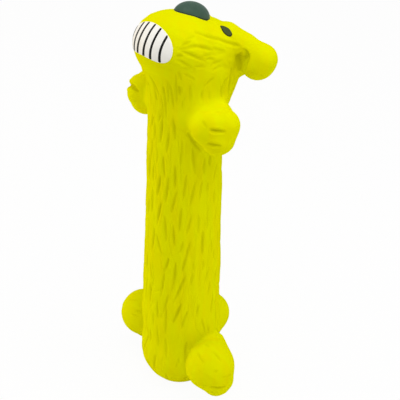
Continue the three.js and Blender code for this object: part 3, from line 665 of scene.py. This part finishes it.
# Nose: the upper part of a tipped ellipsoid, by turn and fall from its crown, sunk into the muzzle
def makeNose(n):
    fall, turn = np.meshgrid(np.radians(np.linspace(*n["fall"], n["rows"])), turns(n["columns"]), indexing="ij")
    ball = np.stack((np.sin(fall) * np.sin(turn), -np.sin(fall) * np.cos(turn), np.cos(fall)), -1)
    q = ball.reshape(-1, 3) * n["radii"]
    c, s = math.cos(math.radians(n["tilt"])), math.sin(math.radians(n["tilt"]))
    p = np.stack((q[:, 0], c * q[:, 1] - s * q[:, 2], s * q[:, 1] + c * q[:, 2]), 1) + n["centre"]
    top = np.array([[0, -s * n["radii"][2], c * n["radii"][2]]]) + n["centre"]
    faces = gridFaces(n["rows"], n["columns"], True)[:, ::-1].tolist()
    crown = [(k, (k + 1) % n["columns"], len(p)) for k in range(n["columns"])]
    points = np.concatenate((p, top))
    rim = np.clip(1 - trunk(points) / n["rimHeight"], 0, 1)
    return makePiece("noseDome", points, faces + crown, rim=rim)


noseDome = makeNose(nose)


# Square grid to disc: each coordinate is drawn in by the other, x √(1 - y²/2) and y √(1 - x²/2)
def discGrid(rows, columns):
    v, u = np.meshgrid(np.linspace(-1, 1, rows), np.linspace(-1, 1, columns), indexing="ij")
    return (u * np.sqrt(1 - v * v / 2)).ravel(), (v * np.sqrt(1 - u * u / 2)).ravel()


# Paint's height by its share from the edge: it thickens inwards, and its very edge sinks under the skin
def paintLevel(edge, look):
    return look["thick"] * ease(edge, 0, look["thickAt"]) - look["sink"] * (1 - ease(edge, 0, look["sinkAt"]))


# Grin: rays over a disc of angles; ink fades at a line's half width, which tapers upwards and to the toy's left
def makeGrin(g):
    rows, columns = g["rows"] // coarse, g["columns"] // coarse
    across, up = discGrid(rows, columns)
    turn = np.radians(g["reach"] * across)
    drop = g["drop"] * (1 + g["cornerDrop"] * across * across)
    lift = np.radians(g["level"] + up * np.where(up > 0, g["rise"], drop))
    p = castOut(np.tile(np.array(g["centre"], float), (len(turn), 1)), turn, lift)
    edge = 1 - np.sqrt(across ** 2 + up ** 2)
    bent = p[:, 0] + g["topBend"] * ease(up, g["topFrom"], 1.0)
    gap = np.abs(bent[:, None] - np.array(g["lines"])).min(1)
    half = g["lineHalf"] * (1 - g["lineTaper"] * up) * (1 - g["lineSide"] * p[:, 0]) * ease(edge, *g["lineEnd"])
    inside, outside = g["inkFade"]
    ink = np.clip((outside - gap / np.maximum(half, 1e-3)) / (outside - inside), 0, 1) * (half > g["lineLeast"])
    p = p + normals(trunk, p) * (paintLevel(edge, g) - g["lineDepth"] * ink)[:, None]
    return makePiece("grinPaint", p, gridFaces(rows, columns, False), ink=ink)


grinPaint = makeGrin(grin)


# Eye: a drop of paint on the side of the brow, by turn and share of its radius, pointed at its upper end
def makeEye(e, side):
    brow = lambda p: withLimb(p * (side, 1, 1), limbs["ear"])
    centre = settle(brow, np.array([e["centre"]], float) * (side, 1, 1))
    up = normals(brow, centre)[0]
    along = np.array((side, e["lean"], math.tan(math.radians(e["slope"]))))
    along = along - up * (along @ up)
    along /= np.linalg.norm(along)
    over = np.cross(up, along) * side
    share, turn = np.meshgrid(np.linspace(e["firstRing"], 1, e["rows"]), turns(e["columns"]), indexing="ij")
    lean = np.cos(turn)
    u = share * lean * e["length"] / 2
    v = share * np.sin(turn) * e["width"] / 2 * (1 + e["point"] * np.minimum(lean, 0))
    flat = centre + u.reshape(-1, 1) * along + v.reshape(-1, 1) * over
    p = settle(brow, np.concatenate((flat, centre)))
    edge = np.append(1 - share.ravel(), 1.0)
    p = p + normals(brow, p) * paintLevel(edge, e)[:, None]
    rim = 1 - ease(edge, *e["rim"])
    faces = gridFaces(e["rows"], e["columns"], True)
    middle = np.array([(c, (c + 1) % e["columns"], len(p) - 1) for c in range(e["columns"])])
    quads, fan = (faces, middle[:, ::-1]) if side < 0 else (faces[:, ::-1], middle)
    return makePiece("eyeLeft" if side > 0 else "eyeRight", p, quads.tolist() + fan.tolist(), rim=rim)


eyeLeft, eyeRight = makeEye(eye, 1), makeEye(eye, -1)
print("face made")

# Whistle: a turned barrel with rounded edges, and a grille of five sound holes
whistle = dict(
    columns=96, bore=5.2, flangeR=9.5, flange=1.5, barrelR=7.0, height=18.0, barbR=8.3, barbLow=5.3, barb=2.0,
    edge=0.35, smallEdge=0.1, barbEdge=0.15, grilleR=4.9, grille=1.2, holeR=0.8, ringR=2.8, holes=5,
    holeSteps=48, holeRows=8, weldGap=1e-7, sharpAngle=40,
)


# Barrel: a profile of radius and height, up over flange and barb and back down the bore, carried round the axis
def makeBarrel(w):
    f, s, b, h = w["edge"], w["smallEdge"], w["barbLow"], w["height"]
    bore, flangeR, flange, barrelR, barbR = (w[k] for k in ("bore", "flangeR", "flange", "barrelR", "barbR"))
    profile = [
        (bore + f, 0), (flangeR - f, 0), (flangeR - s, s), (flangeR, f), (flangeR, flange - f), (flangeR - f, flange),
        (barrelR + s, flange), (barrelR, flange + s), (barrelR, b - s), (barrelR + s, b),
        (barbR - w["barbEdge"], b), (barbR, b + w["barbEdge"]), (barrelR, b + w["barb"]),
        (barrelR, h - f), (barrelR - f, h), (bore + f, h), (bore, h - f), (bore, f),
    ]
    (r, z), turn = np.array(profile, float).T[..., None], turns(w["columns"])
    p = np.stack((r * np.sin(turn), -r * np.cos(turn), z + turn * 0), -1).reshape(-1, 3)
    faces = gridFaces(len(profile) + 1, w["columns"], True) % len(p)
    return makePiece("whistleBarrel", p, faces)


# Grille: sectors, each from its round hole out to its edge, below and above, with a wall round the rim, welded
def makeGrille(w):
    steps, sector = w["holeSteps"], 2 * math.pi / w["holes"]
    t = turns(steps)
    hole = np.stack((w["ringR"] + w["holeR"] * np.cos(t), w["holeR"] * np.sin(t)), 1)
    box = np.stack((np.cos(t), np.sin(t)), 1)
    box /= np.abs(box).max(1, keepdims=True)
    r, a = w["grilleR"] * (box[:, 0] + 1) / 2, box[:, 1] * sector / 2
    edge = np.stack((r * np.cos(a), r * np.sin(a)), 1)
    share = np.linspace(0, 1, w["holeRows"])[:, None, None]
    flat = hole * (1 - share) + edge * share
    onRim = box[:, 0] > 0.999
    rim = np.nonzero(onRim & np.roll(onRim, -1))[0]
    rimNext = (rim + 1) % steps
    points, faces = [], []
    for k in range(w["holes"]):
        c, s = math.cos(k * sector), math.sin(k * sector)
        xy = np.stack((flat[..., 0] * c - flat[..., 1] * s, flat[..., 0] * s + flat[..., 1] * c), -1)
        low, high = (np.concatenate((xy, np.full((*xy.shape[:2], 1), z)), -1) for z in (0.0, w["grille"]))
        wall = np.concatenate((low[::-1], high))
        first = k * len(wall) * steps
        last = first + (len(wall) - 1) * steps
        faces.append(gridFaces(len(wall), steps, True) + first)
        faces.append(np.stack((last + rim, last + rimNext, first + rimNext, first + rim), 1))
        points.append(wall.reshape(-1, 3))
    grille = makePiece("whistleGrille", np.concatenate(points), np.concatenate(faces)[:, ::-1])
    work = bmesh.new()
    work.from_mesh(grille.data)
    bmesh.ops.remove_doubles(work, verts=work.verts, dist=w["weldGap"])
    work.to_mesh(grille.data)
    work.free()
    grille.data.set_sharp_from_angle(angle=math.radians(w["sharpAngle"]))
    return grille


whistleBarrel, whistleGrille = makeBarrel(whistle), makeGrille(whistle)
print("whistle made")


# Node material: a Principled shader with fixed values on its own sockets
class Finish:
    def __init__(self, name, **values):
        self.material = bpy.data.materials.new(name)
        self.material.use_nodes = True
        self.tree = self.material.node_tree
        self.shader = self.tree.nodes["Principled BSDF"]
        for key, value in values.items():
            self.shader.inputs[key.replace("_", " ")].default_value = value

    # Puts a value on a socket, or links another socket to it
    def feed(self, socket, value):
        if isinstance(value, bpy.types.NodeSocket):
            self.tree.links.new(value, socket)
        else:
            socket.default_value = value

    def add(self, kind, **inputs):
        node = self.tree.nodes.new(kind)
        for key, value in inputs.items():
            self.feed(node.inputs[key.replace("_", " ")], value)
        return node

    def link(self, socket, key):
        self.tree.links.new(socket, self.shader.inputs[key])

    # Noise on the piece's own place, with features of a size in metres, drawn out along Z
    def noise(self, size, detail=3.0, tall=1.0):
        place = self.add("ShaderNodeTexCoord").outputs["Object"]
        if tall != 1:
            place = self.add("ShaderNodeMapping", Vector=place, Scale=(1, 1, 1 / tall)).outputs["Vector"]
        return self.add("ShaderNodeTexNoise", Vector=place, Scale=1 / size, Detail=detail).outputs["Fac"]

    # Colour between two ends by a factor from low to high
    def ramp(self, factor, low, high, first, second):
        node = self.add("ShaderNodeValToRGB", Fac=factor)
        ends = node.color_ramp.elements
        ends[0].position, ends[0].color = low, (*first, 1)
        ends[1].position, ends[1].color = high, (*second, 1)
        return node.outputs["Color"]

    # Colour of the first, with a factor's share of a fixed second
    def mix(self, factor, first, second):
        node = self.tree.nodes.new("ShaderNodeMix")
        node.data_type = "RGBA"
        for socket, value in ((node.inputs[0], factor), (node.inputs[6], first), (node.inputs[7], (*second, 1))):
            self.feed(socket, value)
        return node.outputs[2]

    # A named value at the piece's points
    def value(self, key):
        node = self.add("ShaderNodeAttribute")
        node.attribute_name = key
        return node.outputs["Fac"]

    # Noise's middle range spread from low to high
    def spread(self, factor, low, high):
        ends = dict(From_Min=0.3, From_Max=0.7, To_Min=low, To_Max=high)
        return self.add("ShaderNodeMapRange", Value=factor, **ends).outputs["Result"]

    def bump(self, height, strength, distance):
        node = self.add("ShaderNodeBump", Height=height, Strength=strength, Distance=distance)
        self.link(node.outputs["Normal"], "Normal")


# groove is painted shade: the darker yellow mixed into the strokes' hollows by their depth
latexLook = dict(main=(0.77, 0.785, 0.0), warm=(0.79, 0.745, 0.0), groove=(0.62, 0.60, 0.0))


# Latex: two yellows in tall streaks, with painted shade that darkens the strokes by their depth, fine pores and a
# little light let through
def latexFinish(c):
    f = Finish("latex", Subsurface_Weight=0.08, Subsurface_Radius=(1.0, 0.9, 0.15), Subsurface_Scale=0.002,
               Specular_IOR_Level=0.0)
    tone = f.ramp(f.noise(0.007, detail=2.0, tall=5.0), 0.38, 0.72, c["main"], c["warm"])
    # Painted shade: the groove value, the strokes' depth, mixes in the darker yellow
    f.link(f.mix(f.value("groove"), tone, c["groove"]), "Base Color")
    f.link(f.spread(f.noise(0.006), 0.5, 0.62), "Roughness")
    f.bump(f.noise(0.0006, detail=4.0), strength=0.12, distance=0.0002)
    return f.material


# Paints: two near tones, and a dark one by a value at the points
paints = dict(
    nosePaint=dict(first=(0.046, 0.090, 0.064), second=(0.040, 0.080, 0.056), by="rim", dark=(0.02, 0.032, 0.016),
                   gloss=0.15),
    teethPaint=dict(first=(0.92, 0.905, 0.85), second=(0.95, 0.935, 0.88), by="ink", dark=(0.010, 0.010, 0.009),
                    gloss=0.08),
    eyePaint=dict(first=(0.058, 0.080, 0.020), second=(0.050, 0.070, 0.017), by="rim", dark=(0.012, 0.014, 0.004),
                  gloss=0.1),
)


# Paint: its tones in soft clouds, the dark one over them with a short fade, and fine unevenness
def paintFinish(name, c, rough=0.5):
    f = Finish(name, Specular_IOR_Level=c["gloss"])
    tone = f.ramp(f.noise(0.004), 0.35, 0.7, c["first"], c["second"])
    mark = f.ramp(f.value(c["by"]), 0.35, 0.65, (0, 0, 0), (1, 1, 1))
    f.link(f.mix(mark, tone, c["dark"]), "Base Color")
    f.link(f.spread(f.noise(0.002), rough - 0.06, rough + 0.08), "Roughness")
    f.bump(f.noise(0.0008), strength=0.08, distance=0.0002)
    return f.material


plastics = dict(
    whistlePlastic=dict(first=(0.81, 0.79, 0.70), second=(0.77, 0.75, 0.66), rough=0.35, grain=0.0005),
    reedPlastic=dict(first=(0.58, 0.36, 0.10), second=(0.52, 0.31, 0.08), rough=0.4, grain=0.0003),
)


# Plastic: two near tones in soft clouds, with a fine grain
def plasticFinish(name, c):
    f = Finish(name, Specular_IOR_Level=0.5)
    f.link(f.ramp(f.noise(0.003), 0.3, 0.7, c["first"], c["second"]), "Base Color")
    f.link(f.spread(f.noise(0.001), c["rough"] - 0.05, c["rough"] + 0.08), "Roughness")
    f.bump(f.noise(c["grain"]), strength=0.1, distance=0.0001)
    return f.material


latex = latexFinish(latexLook)
nosePaint, teethPaint, eyePaint = (paintFinish(*row) for row in paints.items())
whistlePlastic, reedPlastic = (plasticFinish(*row) for row in plastics.items())


# Gives a piece its material, and hides the nodes that it stands for
def dress(obj, material, slot, *nodes):
    obj.data.materials.clear()
    obj.data.materials.append(material)
    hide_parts(*nodes)


dress(bodySkin, latex, "latex", "body_shell", "belly_wall", "body_filling")
dress(headSkin, latex, "latex", "head_shell", "head_filling")
dress(limbPieces["tailStub"], latex, "latex", "tail")
for side in ("Left", "Right"):
    for name in ("ear", "paw", "foot"):
        dress(limbPieces[name + side], latex, "latex", name + "_" + side.lower())
dress(noseDome, nosePaint, "nose_paint", "nose")
dress(grinPaint, teethPaint, "teeth_paint", "teeth")
dress(eyeLeft, eyePaint, "eye_paint", "eye_left")
dress(eyeRight, eyePaint, "eye_paint", "eye_right")
dress(whistleBarrel, whistlePlastic, "whistle_plastic", "squeaker_barrel")
dress(whistleGrille, whistlePlastic, "whistle_plastic", "squeaker_grille")
for node, material in (("squeaker_reed_seat", whistlePlastic), ("squeaker_reed", reedPlastic)):
    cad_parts[node].data.materials.clear()
    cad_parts[node].data.materials.append(material)

# Motion values: the neck's span, the belly's press, core and edge, and the ears' clearance; the skins are baked in
# place, and feet, tail, face and whistle ride on the body or the head
motion = dict(neck=(0.232, 0.256), press=(0, -28, 132), core=(9.0, 24.0), edge=(30.0, 58.0), earClear=(0.3, 7.5))
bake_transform(headSkin)
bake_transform(bodySkin)


# An ear's share: nothing on the head's skin, all of it where the lobe stands clear of the head
def earShares(obj, m):
    p = np.empty(3 * len(obj.data.vertices))
    obj.data.vertices.foreach_get("co", p)
    return ease(trunk(p.reshape(-1, 3) / mm), *m["earClear"])


for side, sign in (("Left", 1), ("Right", -1)):
    ear, paw = limbPieces["ear" + side], limbPieces["paw" + side]
    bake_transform(ear)
    earShares(ear, motion)
    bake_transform(paw)
    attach(limbPieces["foot" + side], "body")
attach(limbPieces["tailStub"], "body")
for piece in (noseDome, grinPaint, eyeLeft, eyeRight):
    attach(piece, "head")
for piece in (whistleBarrel, whistleGrille):
    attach(piece, "body")
print("pieces ride")

# Floor, world and lamps: white where they are seen, soft light on the toy; lengths in metres
studio = dict(
    world=0.46, floor=0.93, floorStep=0.01, floorGlow=0.95, floorHalf=3.0, floorDrop=0.0002, look=(0, 0, 0.15),
    keyLamp=dict(power=8.3, size=1.1, at=(0.3, -0.1, 1.3), colour=(1, 1, 1)),
    fillLamp=dict(power=6.2, size=0.9, at=(-0.95, -0.65, 0.15), colour=(1.0, 0.84, 0.6)),
    rimLamp=dict(power=2.0, size=0.9, at=(0.95, 0.75, 0.5), colour=(1, 1, 1)),
)


# One for rays from the camera, reflections and see-through, nought for plain light
def lightPathShare(tree):
    path = tree.nodes.new("ShaderNodeLightPath")
    total = path.outputs["Is Camera Ray"]
    for name in ("Is Glossy Ray", "Is Transmission Ray"):
        node = tree.nodes.new("ShaderNodeMath")
        node.operation = "MAXIMUM"
        tree.links.new(total, node.inputs[0])
        tree.links.new(path.outputs[name], node.inputs[1])
        total = node.outputs[0]
    return total


# Links a mix of two shaders, by a factor, to an output
def mixShaders(tree, factor, first, second, output):
    mix = tree.nodes.new("ShaderNodeMixShader")
    for socket, source in zip(mix.inputs, (factor, first, second)):
        tree.links.new(source, socket)
    tree.links.new(mix.outputs[0], tree.nodes[output].inputs["Surface"])


# World: dim white as light, full white where it is seen
def makeWorld(s):
    world = bpy.data.worlds.new("studio")
    bpy.context.scene.world = world
    world.use_nodes = True
    tree = world.node_tree
    light = tree.nodes["Background"]
    seen = tree.nodes.new("ShaderNodeBackground")
    for node, strength in ((light, s["world"]), (seen, 1.0)):
        node.inputs["Color"].default_value, node.inputs["Strength"].default_value = (1, 1, 1, 1), strength
    mixShaders(tree, lightPathShare(tree), light.outputs[0], seen.outputs[0], "World Output")


# Floor: a wide square just under the base, which glows where it is seen, so that it runs into the background
def makeFloor(s):
    corner = np.array(((-1, -1), (1, -1), (1, 1), (-1, 1))) * s["floorHalf"] / mm
    corner = np.column_stack((corner, np.full(4, -s["floorDrop"] / mm)))
    floor = makePiece("floor", corner, np.array([[0, 1, 2, 3]]))
    f = Finish("floorWhite", Roughness=0.9, Specular_IOR_Level=0.1)
    tone = f.ramp(f.noise(0.02), 0.3, 0.7, (s["floor"],) * 3, (s["floor"] + s["floorStep"],) * 3)
    f.link(tone, "Base Color")
    glow = f.add("ShaderNodeEmission", Color=(1, 1, 1, 1), Strength=1.0)
    share = f.add("ShaderNodeMath")
    share.operation = "MULTIPLY"
    f.feed(share.inputs[0], lightPathShare(f.tree))
    f.feed(share.inputs[1], s["floorGlow"])
    mixShaders(f.tree, share.outputs[0], f.shader.outputs[0], glow.outputs[0], "Material Output")
    floor.data.materials.append(f.material)


# Lamps: round soft ones, turned to the toy's middle
def makeLamps(s):
    for name in ("keyLamp", "fillLamp", "rimLamp"):
        lamp, data = s[name], bpy.data.lights.new(name, "AREA")
        data.energy, data.size, data.shape, data.color = lamp["power"], lamp["size"], "DISK", lamp["colour"]
        obj = bpy.data.objects.new(name, data)
        obj.location = lamp["at"]
        obj.rotation_euler = (Vector(s["look"]) - Vector(lamp["at"])).to_track_quat("-Z", "Y").to_euler()
        bpy.context.scene.collection.objects.link(obj)


makeWorld(studio)
makeFloor(studio)
makeLamps(studio)
bpy.context.scene.view_settings.view_transform = "Standard"
print("studio made")
